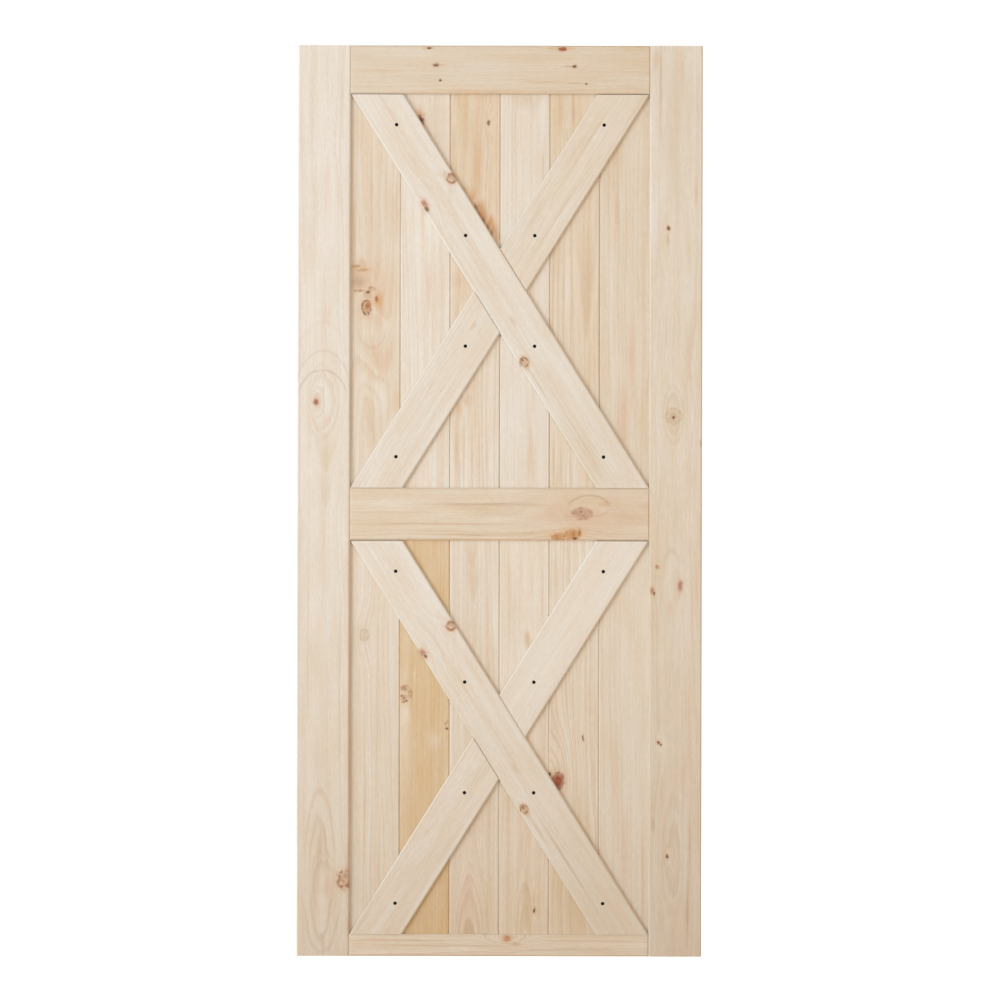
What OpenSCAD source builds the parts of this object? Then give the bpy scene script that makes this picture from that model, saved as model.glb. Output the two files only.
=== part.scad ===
// Sliding barn door slab in softwood. A grooved frame of two stiles and three rails holds two
// panels of tongue-and-groove boards, and a cross of diagonal braces is screwed to each panel.
// X runs across the door, Y through it with the front at -Y, and Z up from the bottom edge.

/* [Door] */
// Width of the whole door
door_w = 914; // [750:1:1100]
// Height of the whole door
door_h = 2057; // [1900:1:2500]
// Thickness of the stiles and rails
frame_t = 35; // [32:0.5:45]

/* [Frame] */
// Width of each stile
stile_w = 119; // [90:1:150]
// Height of the top rail
top_rail_h = 109; // [90:1:200]
// Height of the middle rail
middle_rail_h = 118; // [100:1:200]
// Height of the bottom rail
bottom_rail_h = 49; // [46:1:200]
// Chamfer along the edges of stiles, rails and braces
edge_ease = 3; // [0.5:0.1:4]
// Depth of the groove that holds the panels and the tenons
panel_groove_d = 12; // [8:0.5:14]

/* [Boards] */
// Boards in each panel
board_count = 6; // [4:1:8]
// Thickness of a board
board_t = 13; // [11:0.5:16]
// Thickness of the tongue along a board's edge
tongue_t = 4; // [3:0.5:5]
// Length of that tongue
tongue_l = 6; // [4:0.5:8]
// Depth of the V along each seam, on both faces
seam_v_d = 2.5; // [1:0.1:2.8]

/* [Braces] */
// Width of a brace
brace_w = 101; // [60:1:120]
// How far the braces stand back from the front of the frame
brace_setback = 1; // [0.2:0.1:3]
// Gap left above the top end of a brace
brace_top_gap = 2; // [0.2:0.1:3]

/* [Brace screws] */
// Screws along each diagonal
screw_count = 4; // [4:2:6]
// Distance from a diagonal's end to its first screw
screw_inset = 83; // [60:1:120]
// Diameter of the countersunk head
screw_head_d = 8; // [6:0.5:9]
// Diameter of the shank
screw_d = 4; // [2.5:0.5:4.5]

/* [Dowels] */
// Diameter of a dowel
dowel_d = 10; // [6:1:12]
// Length of a dowel
dowel_l = 80; // [50:1:100]
// Distance between the two dowels at a rail's end
dowel_pitch = 50; // [30:1:60]

/* [Floor guide] */
// Width of the guide groove along the bottom edge
guide_groove_w = 10; // [6:0.5:12]
// Depth of the guide groove
guide_groove_d = 15; // [10:0.5:18]

/* [Hidden] */
// Play between a board's or tenon's faces and the groove that holds it
panel_fit = 0.2;
// Room at the bottom of a groove for the panel to swell
panel_swell = 2;
// Gap between the shoulders of two boards
seam_gap = 0.5;
// Play around a tongue and past its tip
tongue_fit = 0.25;
// Most that the edge chamfer may take of a brace's thickness
brace_ease_share = 0.35;
// Gap between a brace and the frame or the brace that it meets
brace_fit = 0.3;
// Wood left behind the tip of a screw
screw_cover = 3;
// How deep the screw heads sit below the face of a brace
screw_sink = 0.4;
// Height of the straight rim of a screw head
screw_rim_h = 0.4;
// Play around a screw and past its tip
screw_fit = 0.1;
// Length of a screw's point, as a share of its diameter
screw_point_share = 2;
// Span, wing thickness and depth of the cross recess, as shares of the head's diameter
recess_span_share = 0.6;
recess_wing_share = 0.14;
recess_depth_share = 0.22;
// Play around a dowel
dowel_fit = 0.1;
// Room for glue past each end of a dowel
dowel_end_room = 2;
// Chamfer at a dowel's ends
dowel_chamfer = 1;
// How far a cut runs past the face that it opens
overrun = 1;
// Facets of round surfaces
$fn = 48;

// Space between the stiles, height of a panel, and where the panels start
opening_w = door_w - 2 * stile_w;
panel_h = (door_h - top_rail_h - middle_rail_h - bottom_rail_h) / 2;
lower_panel_z = bottom_rail_h;
middle_rail_z = lower_panel_z + panel_h;
upper_panel_z = middle_rail_z + middle_rail_h;
top_rail_z = upper_panel_z + panel_h;

// Panel groove, how far a board reaches into it, and the tenon that fills it
panel_groove_w = board_t + 2 * panel_fit;
panel_lap = panel_groove_d - panel_swell;
tenon_t = board_t;
tenon_l = panel_groove_d - panel_fit;
board_pitch = opening_w / board_count;

// Both long edges of a brace run into corners of the panel, which sets the length of the level cut
// at its ends and so its angle to the horizontal
function level_cut(w, h, b) =
    (sqrt(pow(b * b * w, 2) + (h * h - b * b) * b * b * (h * h + w * w)) - b * b * w) / (h * h - b * b);
brace_t = (frame_t - board_t) / 2 - brace_setback;
brace_y = -(board_t + brace_t) / 2;
brace_ease = min(edge_ease, brace_ease_share * brace_t);
brace_angle = atan2(panel_h, opening_w - level_cut(opening_w, panel_h, brace_w));
diagonal_l = panel_h / sin(brace_angle);
strip_l = norm([opening_w, panel_h]) + 2 * brace_w;

// Screws reach through the brace and most of the board behind it
screw_l = brace_t + board_t - screw_sink - screw_cover;
screw_pitch = (diagonal_l - 2 * screw_inset) / (screw_count - 1);
screw_places = [for (k = [0 : screw_count - 1]) k * screw_pitch - diagonal_l / 2 + screw_inset];

// Stock colours of the wood and the blackened screws
pale_pine = "#e9dcc8";
cream_pine = "#e5d3b8";
warm_pine = "#e0c39c";
beech = "#d9b98f";
black_steel = "#2b2724";
board_colours = [cream_pine, pale_pine, warm_pine, pale_pine, warm_pine, cream_pine];

FRAME_NODES = ["left_stile", "right_stile", "top_rail", "middle_rail", "bottom_rail"];
DOWEL_NODES = ["top_rail_dowels", "middle_rail_dowels", "bottom_rail_dowels"];
BRACE_NODES = [
    "upper_long_brace", "upper_left_half_brace", "upper_right_half_brace", "upper_brace_screws",
    "lower_long_brace", "lower_left_half_brace", "lower_right_half_brace", "lower_brace_screws"
];
UPPER_BOARD_NODES = [for (i = [1 : board_count]) str("upper_board_", i)];
LOWER_BOARD_NODES = [for (i = [1 : board_count]) str("lower_board_", i)];

// Rectangle about the origin with its four corners eased
module eased_rect(w, h, ease) {
    polygon([
        [-w / 2 + ease, -h / 2], [w / 2 - ease, -h / 2], [w / 2, -h / 2 + ease], [w / 2, h / 2 - ease],
        [w / 2 - ease, h / 2], [-w / 2 + ease, h / 2], [-w / 2, h / 2 - ease], [-w / 2, -h / 2 + ease]
    ]);
}

// Groove along the whole bottom edge for a floor guide
module guide_groove() {
    translate([-door_w / 2 - overrun, -guide_groove_w / 2, -overrun])
        cube([door_w + 2 * overrun, guide_groove_w, guide_groove_d + overrun]);
}

// Heights of the dowels in the solid wood of a rail: two where there is room, and otherwise one
function dowel_heights(low, high) =
    high - low > dowel_pitch + 2 * dowel_d
    ? [(low + high - dowel_pitch) / 2, (low + high + dowel_pitch) / 2]
    : [(low + high) / 2];
top_dowels = dowel_heights(top_rail_z + panel_groove_d, door_h);
middle_dowels = dowel_heights(middle_rail_z + panel_groove_d, upper_panel_z - panel_groove_d);
bottom_dowels = dowel_heights(guide_groove_d, bottom_rail_h - panel_groove_d);

// Children laid along X across the joint between stile and rail, at each height and on each side
module at_joints(heights, sides = [-1, 1]) {
    for (side = sides, z = heights)
        translate([side * opening_w / 2, 0, z])
            rotate([0, 90, 0])
                children();
}

module dowel() {
    rotate_extrude()
        polygon([
            [0, -dowel_l / 2], [dowel_d / 2 - dowel_chamfer, -dowel_l / 2],
            [dowel_d / 2, -dowel_l / 2 + dowel_chamfer], [dowel_d / 2, dowel_l / 2 - dowel_chamfer],
            [dowel_d / 2 - dowel_chamfer, dowel_l / 2], [0, dowel_l / 2]
        ]);
}

module dowel_hole() {
    cylinder(h = dowel_l + 2 * dowel_end_room, r = dowel_d / 2 + dowel_fit, center = true);
}

module dowels(heights) {
    color(beech)
        at_joints(heights)
            dowel();
}

// Stile with the panel groove down its inner edge
module left_stile() {
    color(pale_pine)
        difference() {
            translate([-(door_w - stile_w) / 2, 0, 0])
                linear_extrude(door_h)
                    difference() {
                        eased_rect(stile_w, frame_t, edge_ease);
                        translate([stile_w / 2 - panel_groove_d, -panel_groove_w / 2])
                            square([panel_groove_d + overrun, panel_groove_w]);
                    }
            guide_groove();
            at_joints(concat(top_dowels, middle_dowels, bottom_dowels), [-1])
                dowel_hole();
        }
}

module right_stile() {
    mirror([1, 0, 0])
        left_stile();
}

// Rail from height z, with a stub tenon at each end between the cuts in its lower and upper edges
module rail(z, h, below_d, above_d, heights) {
    color(cream_pine)
        difference() {
            union() {
                intersection() {
                    translate([0, 0, z + h / 2])
                        rotate([0, 90, 0])
                            linear_extrude(opening_w, center = true)
                                eased_rect(h, frame_t, edge_ease);
                    translate([0, 0, z])
                        linear_extrude(h)
                            eased_rect(opening_w, frame_t, edge_ease);
                }
                translate([-opening_w / 2 - tenon_l, -tenon_t / 2, z + below_d])
                    cube([opening_w + 2 * tenon_l, tenon_t, h - below_d - above_d]);
            }
            at_joints(heights)
                dowel_hole();
        }
}

// Groove along a rail for the ends of the boards, from the edge at height z
module panel_groove(z, up) {
    translate([-opening_w / 2 - overrun, -panel_groove_w / 2, up ? z - overrun : z - panel_groove_d])
        cube([opening_w + 2 * overrun, panel_groove_w, panel_groove_d + overrun]);
}

module top_rail() {
    difference() {
        rail(top_rail_z, top_rail_h, panel_groove_d, 0, top_dowels);
        panel_groove(top_rail_z, true);
    }
}

module middle_rail() {
    difference() {
        rail(middle_rail_z, middle_rail_h, panel_groove_d, panel_groove_d, middle_dowels);
        panel_groove(middle_rail_z, true);
        panel_groove(upper_panel_z, false);
    }
}

module bottom_rail() {
    difference() {
        rail(0, bottom_rail_h, guide_groove_d, panel_groove_d, bottom_dowels);
        panel_groove(lower_panel_z, false);
        guide_groove();
    }
}

// Place of the seam after board i, counted from the left stile
function seam_x(i) = i * board_pitch - opening_w / 2;

// V cut into both faces along seam i
module seam_vs(i) {
    for (face = [-1, 1])
        translate([seam_x(i), face * board_t / 2])
            rotate(45)
                square(seam_v_d * sqrt(2), center = true);
}

// Section of board i: groove on its left edge and tongue on its right one, but plain in the stiles
module board_section(i) {
    first = i == 1;
    last = i == board_count;
    left = seam_x(i - 1) + (first ? -panel_lap : seam_gap / 2);
    right = seam_x(i) + (last ? panel_lap : -seam_gap / 2);
    difference() {
        union() {
            translate([left, -board_t / 2])
                square([right - left, board_t]);
            if (!last)
                translate([right - overrun, -tongue_t / 2])
                    square([tongue_l + overrun, tongue_t]);
        }
        if (!first) {
            translate([left - seam_gap - overrun, -tongue_t / 2 - tongue_fit])
                square([tongue_l + tongue_fit + overrun, tongue_t + 2 * tongue_fit]);
            seam_vs(i - 1);
        }
        if (!last)
            seam_vs(i);
    }
}

module board(panel_z, i) {
    color(board_colours[i % len(board_colours)])
        difference() {
            translate([0, 0, panel_z - panel_lap])
                linear_extrude(panel_h + 2 * panel_lap)
                    board_section(i);
            for (tilt = [brace_angle, -brace_angle])
                at_screws(panel_z, tilt, screw_places)
                    screw_hole();
        }
}

// Children pointing into the door at places along the diagonal of that tilt
module at_screws(panel_z, tilt, places) {
    translate([0, brace_y - brace_t / 2, panel_z + panel_h / 2])
        rotate([0, tilt, 0])
            for (place = places)
                translate([place, screw_sink, 0])
                    rotate([-90, 0, 0])
                        children();
}

// Outline of a countersunk screw, grown by its play, with the head's top at the given height
function screw_outline(play, top) = let (
    head_r = screw_head_d / 2 + play,
    shank_r = screw_d / 2 + play,
    end = screw_l + play,
    point_l = screw_point_share * screw_d
) [
    [0, top], [head_r, top], [head_r, screw_rim_h], [shank_r, screw_rim_h + head_r - shank_r],
    [shank_r, end - point_l], [play, end], [0, end]
];

module screw_hole() {
    rotate_extrude()
        polygon(screw_outline(screw_fit, -screw_sink - overrun));
}

module screw() {
    difference() {
        rotate_extrude()
            polygon(screw_outline(0, 0));
        for (turn = [0, 90])
            rotate(turn)
                translate([0, 0, (recess_depth_share * screw_head_d - overrun) / 2])
                    cube([
                        recess_span_share * screw_head_d, recess_wing_share * screw_head_d,
                        recess_depth_share * screw_head_d + overrun
                    ], center = true);
    }
}

module brace_screws(panel_z) {
    color(black_steel)
        for (tilt = [brace_angle, -brace_angle])
            at_screws(panel_z, tilt, screw_places)
                screw();
}

// Strip of brace stock through the middle of a panel, sawn level where it meets the rails
module diagonal(panel_z, tilt) {
    intersection() {
        translate([0, brace_y, panel_z + panel_h / 2])
            rotate([0, tilt + 90, 0])
                linear_extrude(strip_l, center = true)
                    eased_rect(brace_w, brace_t, brace_ease);
        translate([-opening_w / 2 + brace_fit, brace_y - brace_t, panel_z + brace_fit])
            cube([opening_w - 2 * brace_fit, 2 * brace_t, panel_h - brace_fit - brace_top_gap]);
    }
}

module long_brace(panel_z) {
    color(pale_pine)
        difference() {
            diagonal(panel_z, brace_angle);
            at_screws(panel_z, brace_angle, screw_places)
                screw_hole();
        }
}

// Half of the other diagonal, mitred against the long brace: side 1 is up and to the right of it
module half_brace(panel_z, side) {
    color(pale_pine)
        difference() {
            intersection() {
                diagonal(panel_z, -brace_angle);
                translate([0, brace_y, panel_z + panel_h / 2])
                    rotate([0, side > 0 ? brace_angle : brace_angle + 180, 0])
                        translate([-strip_l / 2, -brace_t, brace_w / 2 + brace_fit])
                            cube([strip_l, 2 * brace_t, strip_l]);
            }
            at_screws(panel_z, -brace_angle, screw_places)
                screw_hole();
        }
}

left_stile();
right_stile();
top_rail();
middle_rail();
bottom_rail();
dowels(top_dowels);  // top_rail_dowels
dowels(middle_dowels);  // middle_rail_dowels
dowels(bottom_dowels);  // bottom_rail_dowels
long_brace(upper_panel_z);  // upper_long_brace
half_brace(upper_panel_z, -1);  // upper_left_half_brace
half_brace(upper_panel_z, 1);  // upper_right_half_brace
brace_screws(upper_panel_z);  // upper_brace_screws
long_brace(lower_panel_z);  // lower_long_brace
half_brace(lower_panel_z, -1);  // lower_left_half_brace
half_brace(lower_panel_z, 1);  // lower_right_half_brace
brace_screws(lower_panel_z);  // lower_brace_screws
for (i = [1 : board_count]) {
    board(upper_panel_z, i);
    board(lower_panel_z, i);
}
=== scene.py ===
import itertools
import math

import bmesh
import bpy
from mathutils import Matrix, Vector


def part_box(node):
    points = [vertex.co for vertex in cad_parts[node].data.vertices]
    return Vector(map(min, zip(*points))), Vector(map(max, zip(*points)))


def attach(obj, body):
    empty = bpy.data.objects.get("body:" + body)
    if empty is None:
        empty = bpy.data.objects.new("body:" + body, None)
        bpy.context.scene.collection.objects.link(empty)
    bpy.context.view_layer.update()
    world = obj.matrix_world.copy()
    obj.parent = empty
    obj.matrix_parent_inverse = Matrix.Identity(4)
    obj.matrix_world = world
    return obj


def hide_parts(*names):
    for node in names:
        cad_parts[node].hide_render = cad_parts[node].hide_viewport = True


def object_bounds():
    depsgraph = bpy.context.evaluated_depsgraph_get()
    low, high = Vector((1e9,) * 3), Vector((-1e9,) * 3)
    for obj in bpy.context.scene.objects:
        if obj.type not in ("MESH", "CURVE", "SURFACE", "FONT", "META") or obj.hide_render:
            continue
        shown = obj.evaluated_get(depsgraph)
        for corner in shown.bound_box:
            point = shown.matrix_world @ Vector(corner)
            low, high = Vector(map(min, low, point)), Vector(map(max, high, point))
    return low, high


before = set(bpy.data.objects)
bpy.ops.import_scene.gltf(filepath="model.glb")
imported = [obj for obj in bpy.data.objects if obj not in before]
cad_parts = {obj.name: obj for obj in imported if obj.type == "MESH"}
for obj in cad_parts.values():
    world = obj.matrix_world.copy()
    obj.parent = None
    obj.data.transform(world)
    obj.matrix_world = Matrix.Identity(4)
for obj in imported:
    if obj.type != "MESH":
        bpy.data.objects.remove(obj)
cad_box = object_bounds()

# Stiles
# The two full-height uprights of the frame, planed from knotty pine and left bare. Each has a bevel
# along its edges and a groove down the inner one, and dowels hold the rails between them.


def linear(hex_colour):
    """Linear colour of an sRGB hex value."""
    parts = [int(hex_colour[start:start + 2], 16) / 255 for start in (1, 3, 5)]
    return [part / 12.92 if part <= 0.04045 else ((part + 0.055) / 1.055) ** 2.4 for part in parts] + [1.0]


def node(tree, kind, *values, out=0, named=None, **settings):
    """Adds a node with its settings, sets or links its sockets, and returns the output asked for."""
    made = tree.nodes.new(kind)
    for setting, value in settings.items():
        setattr(made, setting, value)
    sockets = list(enumerate(values)) + list((named or {}).items())
    for socket, value in sockets:
        if isinstance(value, bpy.types.NodeSocket):
            tree.links.new(value, made.inputs[socket])
        elif value is not None:
            made.inputs[socket].default_value = value
    return made.outputs[out] if made.outputs else made


def new_group(name, kind, inputs, outputs):
    """A node group with these named sockets, and the sockets that feed its nodes."""
    group = bpy.data.node_groups.new(name, kind)
    for in_out, sockets in (("INPUT", inputs), ("OUTPUT", outputs)):
        for socket, socket_kind in sockets.items():
            group.interface.new_socket(socket, in_out=in_out, socket_type="NodeSocket" + socket_kind)
    return group, node(group, "NodeGroupInput").node.outputs


def per(sizes_mm):
    """Scale that makes a pattern's cells this large, in millimetres along, across and through a piece."""
    return [1 / size for size in sizes_mm]


# A Mix node's colour sockets go by number, because its numbers, vectors and colours share their names
COLOUR_A = 6
COLOUR_B = 7
MIXED = 2
MM = 0.001

# Pine: growth rings about a pith that wanders beside the plank, pale earlywood that darkens to a
# narrow band of latewood in each ring, and long bands and short patches of warmer or pinker wood.
# Its real fibres and pores are too fine to show, so both are drawn some millimetres wide.
WANDER_MM = (640, 110, 110)
WANDER_REACH_MM = (0.0, 30.0, 30.0)
WAVE_MM = (210, 30, 30)
BAND_MM = (900, 17, 17)
PATCH_MM = (170, 36, 36)
FIBRE_MM = (150, 2.4, 2.4)
PORE_MM = (15, 2.6, 2.6)
RING_WAVER_MM = 5.0
NOISE_MIDDLE = 0.5
NOISE_RANGE = (0.3, 0.7)
ACROSS_ONLY = (0.0, 1.0, 1.0)
YEAR_DRIFT = 3.0
YEARS_PER_DRIFT = 0.45
FAINTEST_YEAR = 0.15
LATEWOOD_START = 0.05
LATEWOOD_PEAK = 0.75
LINE_FADING = 2.4
PATCH_WARMTH = 0.75
BLUSH_SHARE = 1.3
FIBRE_SHADE = 0.15
PORE_SHADE = 0.2
DEEPEST_SHADE = 0.825
SAPWOOD = "#E9E4DA"
HEARTWOOD = "#D9BC8E"
PINK_WOOD = "#E7CEBA"
LATEWOOD = "#C09B6A"
pine, given = new_group(
    "pine", "ShaderNodeTree",
    {"Vector": "Vector", "Seed": "Vector", "Pith": "Vector", "Lean": "Vector", "Ring Width": "Float",
     "Bulge": "Float", "Warmth": "Float", "Warming": "Float", "Tone": "Float", "Lines": "Float",
     "Bands": "Float"},
    {"Colour": "Color", "Fibre": "Float"},
)
tree = pine
along = node(tree, "ShaderNodeSeparateXYZ", given["Vector"])
placed = node(tree, "ShaderNodeVectorMath", given["Vector"], given["Seed"], operation="ADD")
wander = node(tree, "ShaderNodeVectorMath", placed, per(WANDER_MM), operation="MULTIPLY")
wander = node(tree, "ShaderNodeTexNoise", out="Color", named={"Vector": wander, "Scale": 1.0, "Detail": 1.0})
wander = node(tree, "ShaderNodeVectorMath", wander, [NOISE_MIDDLE] * 3, operation="SUBTRACT")
pith = node(tree, "ShaderNodeVectorMath", given["Lean"], along, given["Pith"], operation="MULTIPLY_ADD")
pith = node(tree, "ShaderNodeVectorMath", wander, WANDER_REACH_MM, pith, operation="MULTIPLY_ADD")
radial = node(tree, "ShaderNodeVectorMath", given["Vector"], pith, operation="SUBTRACT")
radial = node(tree, "ShaderNodeVectorMath", radial, ACROSS_ONLY, operation="MULTIPLY")
radius = node(tree, "ShaderNodeVectorMath", radial, out="Value", operation="LENGTH")
radius = node(tree, "ShaderNodeMath", radius, given["Bulge"], operation="ADD")
wave = node(tree, "ShaderNodeVectorMath", placed, per(WAVE_MM), operation="MULTIPLY")
wave = node(tree, "ShaderNodeTexNoise", named={"Vector": wave, "Scale": 1.0, "Detail": 2.0})
radius = node(tree, "ShaderNodeMath", wave, RING_WAVER_MM, radius, operation="MULTIPLY_ADD")
fibre = node(tree, "ShaderNodeVectorMath", placed, per(FIBRE_MM), operation="MULTIPLY")
fibre = node(tree, "ShaderNodeTexNoise", named={"Vector": fibre, "Scale": 1.0, "Detail": 3.0})
radius = node(tree, "ShaderNodeMath", fibre, RING_WAVER_MM, radius, operation="MULTIPLY_ADD")
rings = node(tree, "ShaderNodeMath", radius, given["Ring Width"], operation="DIVIDE")
drift = node(
    tree, "ShaderNodeTexNoise", named={"W": rings, "Scale": YEARS_PER_DRIFT, "Detail": 1.0},
    noise_dimensions="1D",
)
rings = node(tree, "ShaderNodeMath", drift, YEAR_DRIFT, rings, operation="MULTIPLY_ADD")
phase = node(tree, "ShaderNodeMath", rings, operation="FRACT")
year = node(tree, "ShaderNodeMath", rings, operation="FLOOR")
year = node(tree, "ShaderNodeTexWhiteNoise", named={"W": year}, noise_dimensions="1D")
year = node(tree, "ShaderNodeMath", year, 1 - FAINTEST_YEAR, FAINTEST_YEAR, operation="MULTIPLY_ADD")
rise = node(
    tree, "ShaderNodeMapRange", phase, LATEWOOD_START, LATEWOOD_PEAK, 0.0, 1.0,
    interpolation_type="SMOOTHSTEP",
)
fall = node(tree, "ShaderNodeMapRange", phase, LATEWOOD_PEAK, 1.0, 1.0, 0.0, interpolation_type="SMOOTHSTEP")
late = node(tree, "ShaderNodeMath", rise, fall, operation="MULTIPLY")
late = node(tree, "ShaderNodeMath", late, year, operation="MULTIPLY")
fading = node(tree, "ShaderNodeSeparateXYZ", wander)
fading = node(tree, "ShaderNodeMath", fading, LINE_FADING, 1.0, operation="MULTIPLY_ADD", use_clamp=True)
late = node(tree, "ShaderNodeMath", late, fading, operation="MULTIPLY")
late = node(tree, "ShaderNodeMath", late, given["Lines"], operation="MULTIPLY")
band = node(tree, "ShaderNodeVectorMath", placed, per(BAND_MM), operation="MULTIPLY")
band = node(tree, "ShaderNodeTexNoise", out="Color", named={"Vector": band, "Scale": 1.0, "Detail": 2.0})
band = node(tree, "ShaderNodeVectorMath", band, [NOISE_MIDDLE] * 3, operation="SUBTRACT")
band = node(tree, "ShaderNodeVectorMath", band, operation="SCALE", named={"Scale": given["Bands"]})
band = node(tree, "ShaderNodeSeparateXYZ", band).node.outputs
patch = node(tree, "ShaderNodeVectorMath", placed, per(PATCH_MM), operation="MULTIPLY")
patch = node(tree, "ShaderNodeTexNoise", named={"Vector": patch, "Scale": 1.0, "Detail": 4.0})
patch = node(tree, "ShaderNodeMath", patch, NOISE_MIDDLE, operation="SUBTRACT")
warm = node(tree, "ShaderNodeMath", along, MM, operation="MULTIPLY")
warm = node(tree, "ShaderNodeMath", warm, given["Warming"], given["Warmth"], operation="MULTIPLY_ADD")
warm = node(tree, "ShaderNodeMath", patch, PATCH_WARMTH, warm, operation="MULTIPLY_ADD")
warm = node(tree, "ShaderNodeMath", band["X"], warm, operation="ADD", use_clamp=True)
colour = node(
    tree, "ShaderNodeMix", warm, named={COLOUR_A: linear(SAPWOOD), COLOUR_B: linear(HEARTWOOD)},
    data_type="RGBA", out=MIXED,
)
blush = node(tree, "ShaderNodeMath", band["Y"], BLUSH_SHARE, operation="MULTIPLY", use_clamp=True)
colour = node(
    tree, "ShaderNodeMix", blush, named={COLOUR_A: colour, COLOUR_B: linear(PINK_WOOD)},
    data_type="RGBA", out=MIXED,
)
colour = node(
    tree, "ShaderNodeMix", late, named={COLOUR_A: colour, COLOUR_B: linear(LATEWOOD)},
    data_type="RGBA", out=MIXED,
)
shade = node(tree, "ShaderNodeMath", fibre, FIBRE_SHADE, DEEPEST_SHADE, operation="MULTIPLY_ADD")
pores = node(tree, "ShaderNodeVectorMath", placed, per(PORE_MM), operation="MULTIPLY")
pores = node(tree, "ShaderNodeTexNoise", named={"Vector": pores, "Scale": 1.0, "Detail": 2.0})
shade = node(tree, "ShaderNodeMath", pores, PORE_SHADE, shade, operation="MULTIPLY_ADD")
shade = node(tree, "ShaderNodeMath", shade, given["Tone"], operation="MULTIPLY")
colour = node(tree, "ShaderNodeHueSaturation", named={"Color": colour, "Value": shade})
node(tree, "NodeGroupOutput", colour, fibre)

# The face of a knot: a mottled warm halo, a brown core with its own fine rings, and a broken rim of
# bark. Distances are counted in the knot's own size, from 0 at its middle to 1 at its edge. Mottle,
# patches and breaks each turn a range of the noise, the first two numbers, into a range of shares.
HALO_INNER = 0.6
HALO_OUTER = 2.4
HALO_MOTTLE = (0.36, 0.64, 0.4, 1.2)
CORE_SOLID = 0.4
CORE_OUTER = 1.25
CORE_RINGS = 16.0
CORE_RING_SHADE = 0.12
CORE_SHADE = 0.95
CORE_PATCHES = (0.46, 0.66, 0.0, 0.6)
RIM_PLACE = 0.9
RIM_BREAKS = (0.36, 0.56, 0.2, 1.0)
knot_face, given = new_group(
    "knot face", "ShaderNodeTree",
    {"Colour": "Color", "Distance": "Float", "Patches": "Float", "Core": "Color", "Rim": "Color",
     "Halo": "Color", "Core Share": "Float", "Rim Share": "Float", "Halo Share": "Float",
     "Rim Width": "Float"},
    {"Colour": "Color"},
)
tree = knot_face
near = node(
    tree, "ShaderNodeMapRange", given["Distance"], HALO_INNER, HALO_OUTER, 1.0, 0.0,
    interpolation_type="SMOOTHERSTEP",
)
near = node(tree, "ShaderNodeMath", near, given["Halo Share"], operation="MULTIPLY")
mottled = node(tree, "ShaderNodeMapRange", given["Patches"], *HALO_MOTTLE)
near = node(tree, "ShaderNodeMath", near, mottled, operation="MULTIPLY")
colour = node(
    tree, "ShaderNodeMix", near, named={COLOUR_A: given["Colour"], COLOUR_B: given["Halo"]},
    data_type="RGBA", out=MIXED,
)
inside = node(
    tree, "ShaderNodeMapRange", given["Distance"], CORE_SOLID, CORE_OUTER, 1.0, 0.0,
    interpolation_type="SMOOTHSTEP",
)
inside = node(tree, "ShaderNodeMath", inside, given["Core Share"], operation="MULTIPLY")
own_rings = node(tree, "ShaderNodeMath", given["Distance"], CORE_RINGS, operation="MULTIPLY")
own_rings = node(tree, "ShaderNodeMath", own_rings, operation="SINE")
own_rings = node(tree, "ShaderNodeMath", own_rings, CORE_RING_SHADE, CORE_SHADE, operation="MULTIPLY_ADD")
core = node(tree, "ShaderNodeHueSaturation", named={"Color": given["Core"], "Value": own_rings})
patchy = node(
    tree, "ShaderNodeMapRange", given["Patches"], *CORE_PATCHES, interpolation_type="SMOOTHSTEP",
)
core = node(
    tree, "ShaderNodeMix", patchy, named={COLOUR_A: core, COLOUR_B: given["Rim"]},
    data_type="RGBA", out=MIXED,
)
colour = node(
    tree, "ShaderNodeMix", inside, named={COLOUR_A: colour, COLOUR_B: core}, data_type="RGBA", out=MIXED,
)
rim = node(tree, "ShaderNodeMath", given["Distance"], RIM_PLACE, operation="SUBTRACT")
rim = node(tree, "ShaderNodeMath", rim, operation="ABSOLUTE")
rim = node(
    tree, "ShaderNodeMapRange", rim, 0.0, given["Rim Width"], 1.0, 0.0, interpolation_type="SMOOTHSTEP",
)
broken = node(
    tree, "ShaderNodeMapRange", given["Patches"], *RIM_BREAKS, interpolation_type="SMOOTHSTEP",
)
rim = node(tree, "ShaderNodeMath", rim, broken, operation="MULTIPLY")
rim = node(tree, "ShaderNodeMath", rim, given["Rim Share"], operation="MULTIPLY")
colour = node(
    tree, "ShaderNodeMix", rim, named={COLOUR_A: colour, COLOUR_B: given["Rim"]}, data_type="RGBA", out=MIXED,
)
node(tree, "NodeGroupOutput", colour)

# A flame: the tongue of wood where a face cuts a ring at a shallow angle, pointed at one end
FLAME_SOFT_EDGE_MM = (-2.0, 8.0)
FLAME_FADES_FROM = 0.4
flame, given = new_group(
    "flame", "ShaderNodeTree",
    {"Vector": "Vector", "Tip": "Vector", "Opening": "Float", "Curve": "Float", "Length": "Float",
     "Share": "Float"},
    {"Share": "Float"},
)
tree = flame
offset = node(tree, "ShaderNodeVectorMath", given["Vector"], given["Tip"], operation="SUBTRACT")
offset = node(tree, "ShaderNodeSeparateXYZ", offset).node.outputs
depth = node(tree, "ShaderNodeMath", offset["X"], given["Opening"], operation="MULTIPLY")
edge = node(tree, "ShaderNodeMath", depth, given["Curve"], operation="MULTIPLY")
edge = node(tree, "ShaderNodeMath", edge, 0.0, operation="MAXIMUM")
edge = node(tree, "ShaderNodeMath", edge, operation="SQRT")
aside = node(tree, "ShaderNodeMath", offset["Y"], operation="ABSOLUTE")
edge = node(tree, "ShaderNodeMath", edge, aside, operation="SUBTRACT")
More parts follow.
